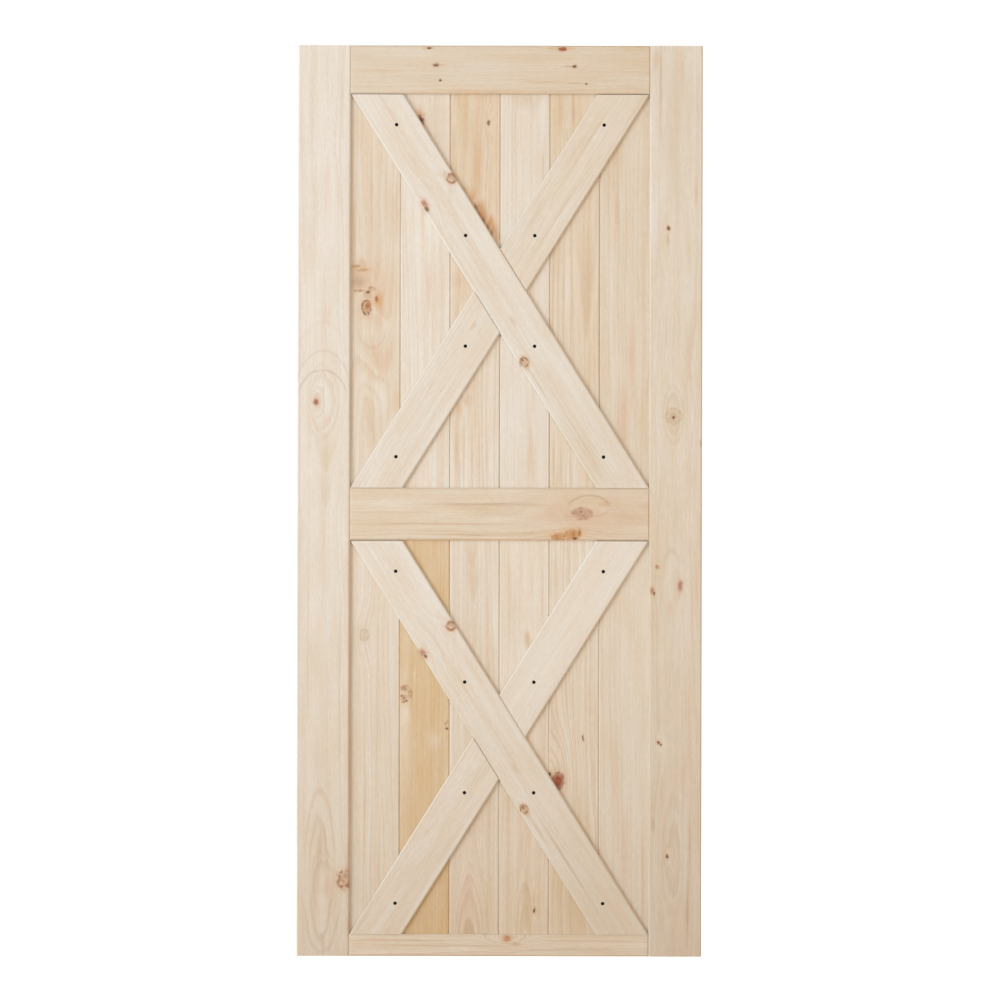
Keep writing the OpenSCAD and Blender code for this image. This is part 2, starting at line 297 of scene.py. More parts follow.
share = node(
    tree, "ShaderNodeMapRange", edge, *FLAME_SOFT_EDGE_MM, 0.0, given["Share"],
    interpolation_type="SMOOTHSTEP",
)
fade = node(tree, "ShaderNodeMath", depth, given["Length"], operation="DIVIDE")
fade = node(
    tree, "ShaderNodeMapRange", fade, FLAME_FADES_FROM, 1.0, 1.0, 0.0, interpolation_type="SMOOTHSTEP",
)
share = node(tree, "ShaderNodeMath", share, fade, operation="MULTIPLY")
node(tree, "NodeGroupOutput", share)

# Kinds of knot: colours of core, rim and halo, how much of each shows, and the width of the rim
KNOTS = {
    "red": ("#9C6550", "#7C4B37", "#DFB196", 0.9, 0.3, 0.8, 0.3),
    "burnt": ("#A85833", "#74412A", "#D79A68", 1.0, 0.5, 0.4, 0.3),
    "pin": ("#6B4833", "#6B4833", "#D3AC86", 0.95, 0.0, 0.7, 0.3),
    "fleck": ("#7A573C", "#6A4A34", "#D9B797", 0.85, 0.0, 0.65, 0.3),
    "blush": ("#AC785D", "#8F5F49", "#DDB49B", 0.75, 0.0, 0.6, 0.3),
    "ring": ("#D9B999", "#A06F52", "#DDB898", 0.55, 0.85, 0.6, 0.5),
    "swirl": ("#CDA67C", "#9A6C45", "#D9B58C", 0.6, 0.8, 0.55, 0.45),
    "bark": ("#66432F", "#4C2F20", "#D0935A", 0.95, 0.4, 0.6, 0.3),
    "orange": ("#CC935C", "#9C6439", "#DFB685", 0.85, 0.3, 0.6, 0.3),
    "rosy": ("#C39B82", "#A87056", "#DCBC9F", 0.75, 0.5, 0.4, 0.3),
    "rust": ("#A5683F", "#8F5530", "#D8A672", 0.75, 0.0, 0.6, 0.3),
    "burl": ("#C7A079", "#75523E", "#DDBB98", 0.75, 0.85, 0.4, 0.3),
    "faint": ("#D1BB9E", "#BAA080", "#DAC6A6", 0.35, 0.4, 0.3, 0.25),
    "smudge": ("#BC916B", "#A67A58", "#B58A60", 0.0, 0.0, 0.75, 0.3),
}
# Tints of resin, heartwood and clear wood that run along a plank. The same tints also serve as painted shade
# beside the frame, the braces and the top rail, and the pale one as painted light on some seams
TINTS = {
    "honey": "#D3A066", "tan": "#C8A577", "brown": "#AE7F55", "pink": "#DDB59C", "pale": "#F0E7DA",
    "grey": "#B9A58E", "rust": "#A9653A", "umber": "#7F4A2A", "orange": "#C68B54", "straw": "#CDB077",
}
SEED_STEP_MM = (911, 233, 157)
KNOT_WOBBLE_MM = (9, 9, 9)
KNOT_WOBBLE_REACH_MM = (4.5, 4.5, 0.0)
TINT_WOBBLE_MM = (90, 6, 6)
TINT_WOBBLE_REACH_MM = (24.0, 5.0, 0.0)
ARCH_WOBBLE_MM = (45, 45, 45)
ARCH_WOBBLE_REACH_MM = (14.0, 10.0, 0.0)
ARCH_MM = 3.5
ARCH_RISE = 0.6
SWELL_ALONG = 4.5
SWELL_ACROSS = 2.4
SWELL_OUTER = 1.8
STAIN_OUTER = 1.25
CROWDED_LINES = 0.06
FIBRE_RELIEF_MM = 0.4
FIBRE_RELIEF_SHARE = 0.15
SMOOTH_FIBRE = 0.54
ROUGH_FIBRE = 0.68
plank_numbers = itertools.count(1)


def plank(name, grain_deg, pith, ring_mm, warmth, lines, tone=1.0, bands=0.5, lean=(0, 0), warming=0.0,
          knots=(), eyes=(), stains_and_painted_shading=(), flames=(), arches=()):
    """Pine on one CAD node, its grain at this angle to the level.

    Its features were placed one by one. Each starts with its place on the door, in millimetres right of the
    the middle and above the floor, and its reach along and across the grain. A flame instead gives
    its tip, the middle of its base and half its width.
    """
    low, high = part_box(name)
    middle = (low + high) / 2
    turn = math.radians(grain_deg)
    material = bpy.data.materials.new("planed pine " + name.replace("_", " "))
    material.use_nodes = True
    tree = material.node_tree
    tree.nodes.clear()
    place = node(tree, "ShaderNodeTexCoord", out="Object")
    place = node(
        tree, "ShaderNodeMapping", place, middle, (math.pi / 2, -turn, 0.0), (MM, MM, MM),
        vector_type="TEXTURE",
    )
    number = next(plank_numbers)
    seed = [number * step for step in SEED_STEP_MM]

    def spot(x, z):
        """A place on the door, in millimetres along and across this plank from its middle."""
        x, z = x - middle.x / MM, z - middle.z / MM
        return x * math.cos(turn) + z * math.sin(turn), z * math.cos(turn) - x * math.sin(turn), 0.0

    def apart(vector, x, z, along, across):
        """Distance from a place on the door, where 1 is the edge of an oval of this size."""
        offset = node(tree, "ShaderNodeVectorMath", vector, spot(x, z), operation="SUBTRACT")
        offset = node(
            tree, "ShaderNodeVectorMath", offset, (1 / along, 1 / across, 0.0), operation="MULTIPLY",
        )
        return node(tree, "ShaderNodeVectorMath", offset, out="Value", operation="LENGTH")

    def wobbled(cells_mm, reach_mm):
        """The plank's coordinates shifted by a noise, and the noise itself."""
        scaled = node(tree, "ShaderNodeVectorMath", place, per(cells_mm), operation="MULTIPLY")
        noise = node(
            tree, "ShaderNodeTexNoise", named={"Vector": scaled, "Scale": 1.0, "Detail": 1.0},
        ).node.outputs
        shift = node(tree, "ShaderNodeVectorMath", noise["Color"], [NOISE_MIDDLE] * 3, operation="SUBTRACT")
        moved = node(tree, "ShaderNodeVectorMath", shift, reach_mm, place, operation="MULTIPLY_ADD")
        return moved, noise["Fac"]

    bulge = 0.0
    swells = [
        (x, z, along * SWELL_ALONG, across * SWELL_ACROSS, rings)
        for x, z, along, across, kind, rings in knots
    ]
    for x, z, along, across, rings in swells + list(eyes):
        swell = node(
            tree, "ShaderNodeMapRange", apart(place, x, z, along, across), 0.0, SWELL_OUTER, rings * ring_mm,
            0.0, interpolation_type="SMOOTHERSTEP",
        )
        bulge = node(tree, "ShaderNodeMath", bulge, swell, operation="ADD")
    if knots or eyes:
        crowding = node(tree, "ShaderNodeMath", bulge, operation="ABSOLUTE")
        lines = node(
            tree, "ShaderNodeMath", crowding, CROWDED_LINES / ring_mm, lines, operation="MULTIPLY_ADD",
        )
    wood = node(
        tree, "ShaderNodeGroup", node_tree=pine,
        named={"Vector": place, "Seed": seed, "Pith": (0.0, *pith), "Lean": (0.0, *lean),
               "Ring Width": ring_mm, "Bulge": bulge, "Warmth": warmth, "Warming": warming, "Tone": tone,
               "Lines": lines, "Bands": bands},
    ).node.outputs
    tinted = []
    if stains_and_painted_shading or flames:
        streaky = wobbled(TINT_WOBBLE_MM, TINT_WOBBLE_REACH_MM)[0]
    # Each entry is a real tint of the wood, or painted shade or painted light where its list says so
    for x, z, along, across, paint, share in stains_and_painted_shading:
        near = node(
            tree, "ShaderNodeMapRange", apart(streaky, x, z, along, across), 0.0, STAIN_OUTER, share, 0.0,
            interpolation_type="SMOOTHSTEP",
        )
        tinted.append((near, paint))
    for x, z, base_x, base_z, half_width, paint, share in flames:
        tip, base = spot(x, z), spot(base_x, base_z)
        length = abs(base[0] - tip[0])
        near = node(
            tree, "ShaderNodeGroup", node_tree=flame,
            named={"Vector": streaky, "Tip": tip, "Opening": 1.0 if base[0] > tip[0] else -1.0,
                   "Curve": half_width ** 2 / length, "Length": length, "Share": share},
        )
        tinted.append((near, paint))
    if arches:
        bent = wobbled(ARCH_WOBBLE_MM, ARCH_WOBBLE_REACH_MM)[0]
    for x, z, along, across, facing, paint, share in arches:
        line = node(tree, "ShaderNodeMath", apart(bent, x, z, along, across), 1.0, operation="SUBTRACT")
        line = node(tree, "ShaderNodeMath", line, operation="ABSOLUTE")
        line = node(
            tree, "ShaderNodeMapRange", line, 0.0, ARCH_MM / across, share, 0.0,
            interpolation_type="SMOOTHSTEP",
        )
        rise = node(tree, "ShaderNodeVectorMath", place, spot(x, z), operation="SUBTRACT")
        up = (math.sin(turn) * facing, math.cos(turn) * facing, 0.0)
        rise = node(tree, "ShaderNodeVectorMath", rise, up, out="Value", operation="DOT_PRODUCT")
        tall = abs(along * math.sin(turn)) + abs(across * math.cos(turn))
        shown = node(
            tree, "ShaderNodeMapRange", rise, 0.0, tall * ARCH_RISE, 0.0, 1.0,
            interpolation_type="SMOOTHSTEP",
        )
        line = node(tree, "ShaderNodeMath", line, shown, operation="MULTIPLY")
        tinted.append((line, paint))
    colour = wood["Colour"]
    for share, paint in tinted:
        colour = node(
            tree, "ShaderNodeMix", share, named={COLOUR_A: colour, COLOUR_B: linear(TINTS[paint])},
            data_type="RGBA", out=MIXED,
        )
    if knots:
        rugged, patches = wobbled(KNOT_WOBBLE_MM, KNOT_WOBBLE_REACH_MM)
    for x, z, along, across, kind, rings in knots:
        core, rim, halo, core_share, rim_share, halo_share, rim_width = KNOTS[kind]
        colour = node(
            tree, "ShaderNodeGroup", node_tree=knot_face,
            named={"Colour": colour, "Distance": apart(rugged, x, z, along, across), "Patches": patches,
                   "Core": linear(core), "Rim": linear(rim), "Halo": linear(halo), "Core Share": core_share,
                   "Rim Share": rim_share, "Halo Share": halo_share, "Rim Width": rim_width},
        )
    rough = node(tree, "ShaderNodeMapRange", wood["Fibre"], *NOISE_RANGE, ROUGH_FIBRE, SMOOTH_FIBRE)
    bump = node(
        tree, "ShaderNodeBump", FIBRE_RELIEF_SHARE, FIBRE_RELIEF_MM * MM, named={"Height": wood["Fibre"]},
    )
    shader = node(
        tree, "ShaderNodeBsdfPrincipled", named={"Base Color": colour, "Roughness": rough, "Normal": bump},
    )
    node(tree, "ShaderNodeOutputMaterial", shader)
    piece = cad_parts[name]
    piece.data.materials.clear()
    piece.data.materials.append(material)


UPRIGHT = -90
plank(
    "left_stile", UPRIGHT, pith=(-4, -70), ring_mm=8, warmth=0.14, lines=0.14, tone=0.98, bands=0.4,
    warming=0.12,
    knots=[
        (-415, 1251, 7, 5, "red", -1), (-346, 170, 9, 7, "ring", 0), (-349, 172, 19, 15, "ring", -1),
    ],
    eyes=[
        (-399, 1255, 90, 61, -3), (-397, 153, 95, 38, -3),
    ],
    stains_and_painted_shading=[
        (-395, 146, 18, 10, "orange", 0.3), (-386, 157, 27, 14, "pink", 0.3),
        (-393, 1448, 32, 16, "pink", 0.2), (-393, 1210, 20, 14, "pink", 0.25),
        (-427, 1912, 158, 7, "tan", 0.16), (-361, 1867, 203, 4.5, "tan", 0.16),
        (-433, 712, 249, 3.5, "tan", 0.2), (-361, 599, 249, 3.5, "tan", 0.2),
        (-405, 248, 54, 9, "tan", 0.3), (-397, 28, 32, 7, "tan", 0.35),
        # The honey strip at the end of the next line is painted shade: it warms and darkens the inner bevel
        # that faces away from the lamp
        (-454, 1029, 1085, 3.5, "grey", 0.3), (-340, 599, 520, 4.5, "honey", 0.32),
        (-343, 187, 27, 7, "brown", 0.3), (-340, 67, 36, 7, "honey", 0.4),
        (-340, 230, 36, 7, "honey", 0.35), (-414, 1253, 16, 10, "pink", 0.6),
    ],
    flames=[
        (-398, 300, -397, 44, 34, "tan", 0.22), (-398, 196, -397, 33, 20, "pale", 0.35),
        (-390, 1821, -390, 1618, 16, "pink", 0.2), (-394, 1092, -395, 1199, 32, "tan", 0.12),
        (-392, 1011, -394, 1097, 20, "tan", 0.18),
    ],
    arches=[
        (-399, 1253, 70, 56, 1, "brown", 0.24), (-399, 1269, 97, 63, 1, "brown", 0.16),
        (-402, 1289, 140, 70, 1, "brown", 0.05), (-395, 1246, 72, 27, -1, "pink", 0.2),
        (-407, 169, 140, 20, 1, "tan", 0.28), (-402, 173, 131, 24, -1, "brown", 0.18),
        (-404, 157, 215, 36, 1, "tan", 0.24), (-400, 169, 163, 43, -1, "brown", 0.15),
    ],
)
plank(
    "right_stile", UPRIGHT, pith=(2, -70), ring_mm=8, warmth=0.31, lines=0.18, tone=0.97, bands=0.4,
    warming=0.06,
    knots=[
        (380, 1645, 5.5, 4, "pin", -1), (392, 1219, 10, 9, "faint", 0), (392, 1220, 20, 18, "faint", 0),
        (392, 1218, 4, 3.5, "pin", -1), (345, 826, 8, 4.5, "blush", 0), (349, 820, 5, 3, "fleck", 0),
        (408, 837, 13, 6.5, "blush", -1), (360, 483, 4.5, 4, "fleck", -1), (365, 478, 3, 2.5, "fleck", 0),
        (379, 226, 4, 3.5, "pin", -1), (356, 880, 3.5, 3.5, "smudge", 0), (354, 882, 2, 2, "fleck", 0),
    ],
    eyes=[
        (392, 1224, 77, 38, -3), (382, 839, 68, 27, -1.2), (385, 232, 158, 34, -3),
    ],
    stains_and_painted_shading=[
        (348, 295, 23, 7, "grey", 0.4), (387, 789, 20, 11, "pink", 0.4),
        (442, 1731, 50, 4, "honey", 0.45), (416, 372, 102, 5.5, "pink", 0.45),
        (362, 1969, 124, 4.5, "brown", 0.25), (379, 1618, 18, 4.5, "tan", 0.5),
        (437, 780, 113, 4.5, "pink", 0.4), (454, 1157, 11, 3, "brown", 0.7),
        (426, 101, 102, 3.5, "brown", 0.35), (430, 259, 113, 3, "brown", 0.3),
        (444, 1912, 158, 4.5, "tan", 0.25), (347, 531, 362, 18, "straw", 0.18),
        (344, 827, 14, 7, "honey", 0.4), (353, 2025, 29, 14, "tan", 0.35),
        (404, 834, 20, 11, "pink", 0.45), (396, 1889, 226, 45, "tan", 0.2),
    ],
    arches=[(389, 859, 59, 18, 1, "brown", 0.14)],
)

# Rails
# The three cross pieces of the frame, of the same planed pine with the grain lying level. Stub tenons
# on their ends fill the stiles' grooves, and dowels are glued through the joint.
LEVEL = 0
plank(
    "top_rail", LEVEL, pith=(-90, -80), ring_mm=6, warmth=0.45, lines=0.17, tone=0.952, bands=0.4,
    warming=0.2,
    knots=[
        (-161, 2051, 6, 2.5, "pin", 1), (-146, 2012, 7.5, 4.5, "fleck", 1),
        (-136, 1978, 3.5, 2.5, "pin", 1), (140, 2049, 9, 5, "burnt", 1), (145, 2048, 3.5, 2, "bark", 0),
        (167, 2010, 5.5, 3.5, "pin", 1), (193, 1971, 3.5, 2.5, "pin", 1),
    ],
    stains_and_painted_shading=[
        (152, 2010, 16, 2.5, "brown", 0.5), (166, 1971, 27, 2.5, "brown", 0.4),
        (118, 2050, 14, 3.5, "honey", 0.5), (89, 1975, 63, 4.5, "honey", 0.3),
        (-132, 2013, 16, 3.5, "tan", 0.4), (-1, 1955, 339, 3.5, "honey", 0.25),
        (157, 2050, 18, 3.5, "honey", 0.45), (-161, 2050, 18, 3.5, "tan", 0.5),
    ],
)
plank(
    "middle_rail", LEVEL, pith=(20, -60), ring_mm=8, warmth=0.455, lines=0.3, tone=0.985, warming=0.15,
    knots=[
        (187, 1000, 23, 14, "rosy", 1), (183, 1004, 4, 2.5, "fleck", 0),
        (134, 947, 19, 9.5, "orange", 0.5), (165, 953, 18, 12, "orange", 0),
        (145, 949, 3.5, 2, "rust", 0), (170, 944, 5.5, 2.5, "bark", 0), (180, 957, 4.5, 7.5, "rust", 0),
    ],
    eyes=[
        (201, 1011, 77, 36, 1.2), (152, 938, 68, 27, 1),
    ],
    stains_and_painted_shading=[
        (-42, 1021, 158, 5, "brown", 0.35), (-155, 976, 192, 3, "brown", 0.35),
        (-65, 952, 136, 2.5, "brown", 0.3), (-245, 1002, 136, 4.5, "tan", 0.25),
        (237, 1022, 16, 9, "honey", 0.35), (206, 993, 158, 59, "pink", 0.26),
        (274, 995, 102, 59, "tan", 0.1), (122, 1006, 32, 27, "pink", 0.3),
        (154, 995, 16, 14, "brown", 0.22),
    ],
    arches=[
        (201, 1013, 45, 27, 1, "brown", 0.36), (201, 1015, 45, 23, -1, "brown", 0.2),
    ],
)
plank(
    "bottom_rail", LEVEL, pith=(-120, -50), ring_mm=7, warmth=0.31, lines=0.36, tone=1.055,
    knots=[(18, 40, 9, 6.5, "orange", 1.5)],
    eyes=[(18, 33, 50, 23, 2)],
    stains_and_painted_shading=[
        (38, 28, 18, 4.5, "tan", 0.6), (22, 41, 18, 9, "orange", 0.3), (-151, 24, 203, 2.5, "tan", 0.45),
        (-219, 36, 136, 2.5, "tan", 0.4), (165, 15, 181, 2.5, "brown", 0.25),
        (210, 35, 158, 2.5, "brown", 0.25),
    ],
)

# Dowels
# Turned beech pins, glued into bores across the joints between rails and stiles. None shows in the
# finished door, and each has the close, even grain and small dark flecks of beech.
FLECK_MM = (3.0, 0.5, 0.5)
BEECH_PALE = "#E0C39A"
BEECH_FLECK = "#C9A073"
BEECH_ROUGHNESS = 0.6
beech = bpy.data.materials.new("turned beech")
beech.use_nodes = True
tree = beech.node_tree
tree.nodes.clear()
place = node(tree, "ShaderNodeTexCoord", out="Object")
flecks_per_metre = [scale / MM for scale in per(FLECK_MM)]
place = node(tree, "ShaderNodeMapping", place, None, None, flecks_per_metre)
flecks = node(tree, "ShaderNodeTexNoise", named={"Vector": place, "Scale": 1.0, "Detail": 2.0})
colour = node(
    tree, "ShaderNodeMix", flecks, named={COLOUR_A: linear(BEECH_PALE), COLOUR_B: linear(BEECH_FLECK)},
    data_type="RGBA", out=MIXED,
)
shader = node(tree, "ShaderNodeBsdfPrincipled", named={"Base Color": colour, "Roughness": BEECH_ROUGHNESS})
node(tree, "ShaderNodeOutputMaterial", shader)
for rail in ("top", "middle", "bottom"):
    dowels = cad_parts[rail + "_rail_dowels"]
    dowels.data.materials.clear()
    dowels.data.materials.append(beech)

# Boards
# Thin boards with a tongue on one edge, a groove on the other and a V along each seam. They stand in
# the frame's grooves without glue, six to a panel, and each was cut from a different plank.
plank(
    "upper_board_1", UPRIGHT, pith=(-10, -55), ring_mm=9, warmth=0.255, lines=0.24, warming=-0.05,
    knots=[
        (-302, 1465, 17, 11, "burl", 1), (-300, 1469, 7.5, 6.5, "rust", 0),
        (-320, 1503, 2, 7.5, "smudge", 0), (-299, 1500, 4.5, 6, "fleck", 0),
        (-279, 1485, 9.5, 4.5, "rust", 0), (-290, 1508, 3.5, 5.5, "smudge", 0),
        (-327, 1559, 2.5, 7, "smudge", 0), (-313, 1550, 2, 8, "smudge", 0),
    ],
    eyes=[(-287, 1380, 90, 36, 2)],
    stains_and_painted_shading=[
        (-306, 1553, 3.5, 20, "honey", 0.6), (-274, 1482, 18, 9, "brown", 0.35),
        (-283, 1504, 102, 63, "honey", 0.32), (-319, 1525, 20, 23, "brown", 0.5),
        (-299, 1493, 14, 14, "brown", 0.3), (-317, 1550, 16, 25, "honey", 0.5),
        (-270, 1477, 27, 11, "honey", 0.55), (-272, 1441, 25, 9, "pink", 0.4),
        (-284, 1452, 14, 2.5, "pale", 0.5), (-291, 1731, 147, 3, "brown", 0.25),
        (-257, 1731, 158, 16, "tan", 0.2), (-234, 1697, 113, 3.5, "honey", 0.4),
        # The pale strip on the seam with the second board is painted light that lifts the shade in the V
        (-226, 1561, 136, 3.5, "pale", 0.6), (-329, 1618, 136, 5.5, "honey", 0.35),
        (-233, 1255, 45, 9, "honey", 0.3), (-313, 1568, 14, 14, "tan", 0.4),
    ],
    flames=[
        (-265, 1296, -262, 1414, 34, "honey", 0.25), (-275, 1142, -269, 1289, 41, "tan", 0.16),
    ],
    arches=[(-290, 1432, 59, 34, -1, "brown", 0.13)],
)
plank(
    "upper_board_2", UPRIGHT, pith=(60, -60), ring_mm=9, warmth=0.13, lines=0.2,
    knots=[(-182, 1886, 14, 9.5, "bark", 1)],
    stains_and_painted_shading=[
        (-154, 1855, 136, 59, "tan", 0.2), (-165, 1855, 23, 9, "honey", 0.3),
        (-154, 1855, 136, 59, "straw", 0.08), (-183, 1905, 20, 9, "honey", 0.45),
        # The pale strip on the seam with the first board is painted light that lifts the shade in the V
        (-176, 1686, 79, 4.5, "tan", 0.25), (-224, 1561, 136, 3.5, "pale", 0.6),
        (-133, 1708, 102, 4, "honey", 0.22),
    ],
    flames=[(-161, 1455, -162, 1606, 15, "pink", 0.35)],
)
plank(
    "upper_board_3", UPRIGHT, pith=(-60, -60), ring_mm=8, warmth=0.39, lines=0.3, warming=-0.45,
    knots=[(-27, 1884, 7, 4, "fleck", 1)],
    stains_and_painted_shading=[
        # The honey patch at the end of this line and the rust patch after it are painted shadow of the long
        # brace on the board, over the board's own warm colour
        (-54, 1772, 95, 14, "honey", 0.4), (-63, 1717, 29, 14, "honey", 0.55),
        (-83, 1729, 20, 14, "rust", 0.3), (-96, 1532, 32, 14, "honey", 0.25),
        # These two honey patches are painted shadow beside the lower edge of the upper left half brace
        (-75, 1255, 20, 14, "honey", 0.35), (-93, 1233, 20, 11, "honey", 0.35),
        (-50, 1855, 136, 8, "honey", 0.2), (-58, 1568, 136, 68, "honey", 0.1),
        (-90, 1799, 50, 16, "pink", 0.12), (-99, 1142, 102, 4.5, "honey", 0.35),
        (-81, 1142, 102, 3.5, "honey", 0.3), (-63, 1142, 102, 3, "honey", 0.3),
        (-46, 1131, 90, 4, "pink", 0.5), (-29, 1131, 90, 3.5, "pink", 0.4),
        (-40, 1681, 36, 14, "honey", 0.6), (-18, 1649, 32, 14, "honey", 0.55),
        (-47, 1692, 18, 11, "orange", 0.7), (-36, 1674, 18, 11, "orange", 0.65),
        (-24, 1656, 18, 11, "orange", 0.7), (-13, 1638, 18, 11, "orange", 0.65),
        (-4, 1622, 14, 9, "orange", 0.5), (-56, 1690, 11, 6.5, "umber", 0.75),
        (-47, 1675, 11, 6.5, "umber", 0.7), (-38, 1661, 11, 6.5, "umber", 0.75),
        (-29, 1646, 11, 6.5, "umber", 0.65), (-20, 1631, 11, 6, "umber", 0.6),
    ],
    flames=[(-84, 1853, -89, 1953, 16, "tan", 0.14)],
)
plank(
    "upper_board_4", UPRIGHT, pith=(60, -60), ring_mm=9, warmth=0.15, lines=0.18, tone=0.99,
    warming=-0.06,
    stains_and_painted_shading=[
        (97, 1776, 68, 3, "tan", 0.35), (27, 1821, 136, 3.5, "tan", 0.15),
        # This tan patch just under the top rail is painted shadow cast by the rail
        (60, 1937, 23, 54, "tan", 0.25),
    ],
    flames=[
        (74, 1885, 74, 1944, 12, "tan", 0.2), (70, 1201, 70, 1052, 16, "honey", 0.2),
    ],
)
plank(
    "upper_board_5", UPRIGHT, pith=(70, -50), ring_mm=8, warmth=0.43, lines=0.25, bands=0.4,
    warming=-0.15,
    stains_and_painted_shading=[
        (120, 1527, 271, 3.5, "brown", 0.18), (132, 1504, 249, 2.5, "brown", 0.15),
        (143, 1482, 249, 3.5, "brown", 0.2), (152, 1504, 226, 4.5, "pale", 0.45),
        (161, 1527, 181, 3, "brown", 0.2), (139, 1907, 68, 4.5, "tan", 0.3),
        (165, 1912, 50, 3.5, "brown", 0.3), (153, 1912, 68, 4.5, "pale", 0.2),
        (169, 1889, 102, 45, "tan", 0.1), (122, 1120, 68, 3, "brown", 0.3),
        (138, 1120, 68, 3.5, "brown", 0.25), (160, 1097, 68, 3.5, "brown", 0.25),
    ],
    flames=[
        (196, 1350, 194, 1674, 36, "pale", 0.18), (195, 1378, 194, 1674, 25, "tan", 0.32),
    ],
)
plank(
    "upper_board_6", UPRIGHT, pith=(90, -50), ring_mm=9, warmth=0.39, lines=0.18, tone=0.975, bands=0.4,
    stains_and_painted_shading=[
        (328, 1504, 452, 9, "honey", 0.15), (264, 1686, 63, 5.5, "honey", 0.3),
        (299, 1369, 102, 11, "pink", 0.3), (277, 1187, 113, 14, "pink", 0.3),
    ],
)
plank(
    "lower_board_1", UPRIGHT, pith=(-90, -60), ring_mm=8, warmth=0.21, lines=0.22, bands=0.4,
    knots=[(-306, 724, 14, 11, "faint", 1.5)],
    stains_and_painted_shading=[
        (-276, 531, 226, 3.5, "tan", 0.35), (-304, 350, 158, 3, "tan", 0.3),
        (-271, 203, 136, 3.5, "tan", 0.3), (-240, 803, 136, 4.5, "tan", 0.2),
    ],
)
plank(
    "lower_board_2", UPRIGHT, pith=(-70, -60), ring_mm=9, warmth=0.84, lines=0.22, bands=0.3,
    warming=0.08, tone=1.01,
    knots=[
        (-213, 604, 5, 7, "smudge", 1), (-201, 592, 8, 3.5, "smudge", 0), (-215, 581, 6, 5, "smudge", 0),
        (-221, 587, 2.5, 3.5, "fleck", 0), (-215, 581, 5, 2.5, "blush", 0),
        (-210, 576, 2.5, 3.5, "fleck", 0), (-217, 572, 2, 4, "blush", 0), (-118, 513, 3.5, 3.5, "pin", 1),
    ],
    stains_and_painted_shading=[
        (-216, 486, 316, 18, "pale", 0.12), (-216, 526, 136, 20, "pale", 0.4),
        (-212, 544, 25, 14, "pale", 0.5), (-192, 635, 20, 3, "pale", 0.4),
        (-120, 528, 6.5, 8, "rust", 0.45), (-148, 486, 23, 20, "pale", 0.3),
        # The pale strip on the seam with the third board is painted light that lifts the shade in the V
        (-199, 825, 113, 7, "pale", 0.25), (-111, 492, 587, 4.5, "pale", 0.5),
    ],
)
plank(
    "lower_board_3", UPRIGHT, pith=(-5, -50), ring_mm=8, warmth=0.29, lines=0.22, warming=0.2,
    eyes=[(-68, -1, 169, 41, -6)],
    stains_and_painted_shading=[
        # Both pale strips lie on this board's seams and are painted light that lifts the shade in the V's
        (-111, 492, 587, 4.5, "pale", 0.5), (1, 492, 587, 4.5, "pale", 0.6),
    ],
    flames=[
        (-64, 875, -65, 943, 20, "tan", 0.25), (-57, 798, -58, 911, 23, "tan", 0.2),
        (-69, 273, -68, 22, 50, "pale", 0.2), (-71, 189, -70, 44, 29, "pink", 0.34),
        (-73, 92, -72, 10, 25, "tan", 0.06),
    ],
)
plank(
    "lower_board_4", UPRIGHT, pith=(5, -50), ring_mm=9, warmth=0.29, lines=0.2, warming=0.26, tone=1.025,
    knots=[(80, 102, 5.5, 3.5, "pin", 1)],
    eyes=[(63, 10, 136, 23, -4)],
    stains_and_painted_shading=[
        (80, 130, 23, 3.5, "pink", 0.7), (107, 402, 20, 9, "honey", 0.35),
        (65, 705, 23, 11, "straw", 0.4), (21, 350, 294, 5.5, "tan", 0.28),
        (104, 350, 294, 4, "tan", 0.28), (63, 719, 20, 7.5, "honey", 0.45),
        (22, 803, 136, 5.5, "tan", 0.2), (98, 803, 136, 3.5, "tan", 0.25),
        # Both pale strips on the next line lie on this board's seams and are painted light that lifts the
        # shade in the V's
        (1, 492, 587, 4.5, "pale", 0.6), (112, 492, 587, 4.5, "pale", 0.6),
    ],
    flames=[(62, 198, 63, 33, 17, "straw", 0.44)],
)
plank(
    "lower_board_5", UPRIGHT, pith=(60, -60), ring_mm=8, warmth=0.33, lines=0.36, warming=0.2, tone=1.018,
    knots=[
        (134, 395, 20, 14, "burnt", 2), (113, 411, 4.5, 4, "pin", 0), (190, 492, 7, 2, "fleck", 0),
    ],
    eyes=[(132, 384, 124, 38, 3)],
    stains_and_painted_shading=[
        (130, 848, 90, 7, "tan", 0.25), (120, 402, 20, 9, "honey", 0.4), (164, 123, 90, 18, "tan", 0.2),
        (171, 169, 203, 68, "straw", 0.3), (217, 531, 226, 9, "straw", 0.2),
        # Both pale strips on the next line lie on this board's seams and are painted light that lifts the
        # shade in the V's
        (112, 492, 587, 4.5, "pale", 0.6), (224, 492, 587, 4.5, "pale", 0.6),
    ],
)
plank(
    "lower_board_6", UPRIGHT, pith=(110, -60), ring_mm=9, warmth=0.27, lines=0.18, bands=0.3, tone=1.005,
    stains_and_painted_shading=[
        (325, 157, 158, 4, "honey", 0.35), (281, 237, 136, 14, "pink", 0.25),
        (280, 508, 136, 63, "straw", 0.08), (323, 531, 271, 18, "straw", 0.13),
        # The pale strip on the seam with the fifth board is painted light that lifts the shade in the V
        (224, 492, 587, 4.5, "pale", 0.6),
    ],
)

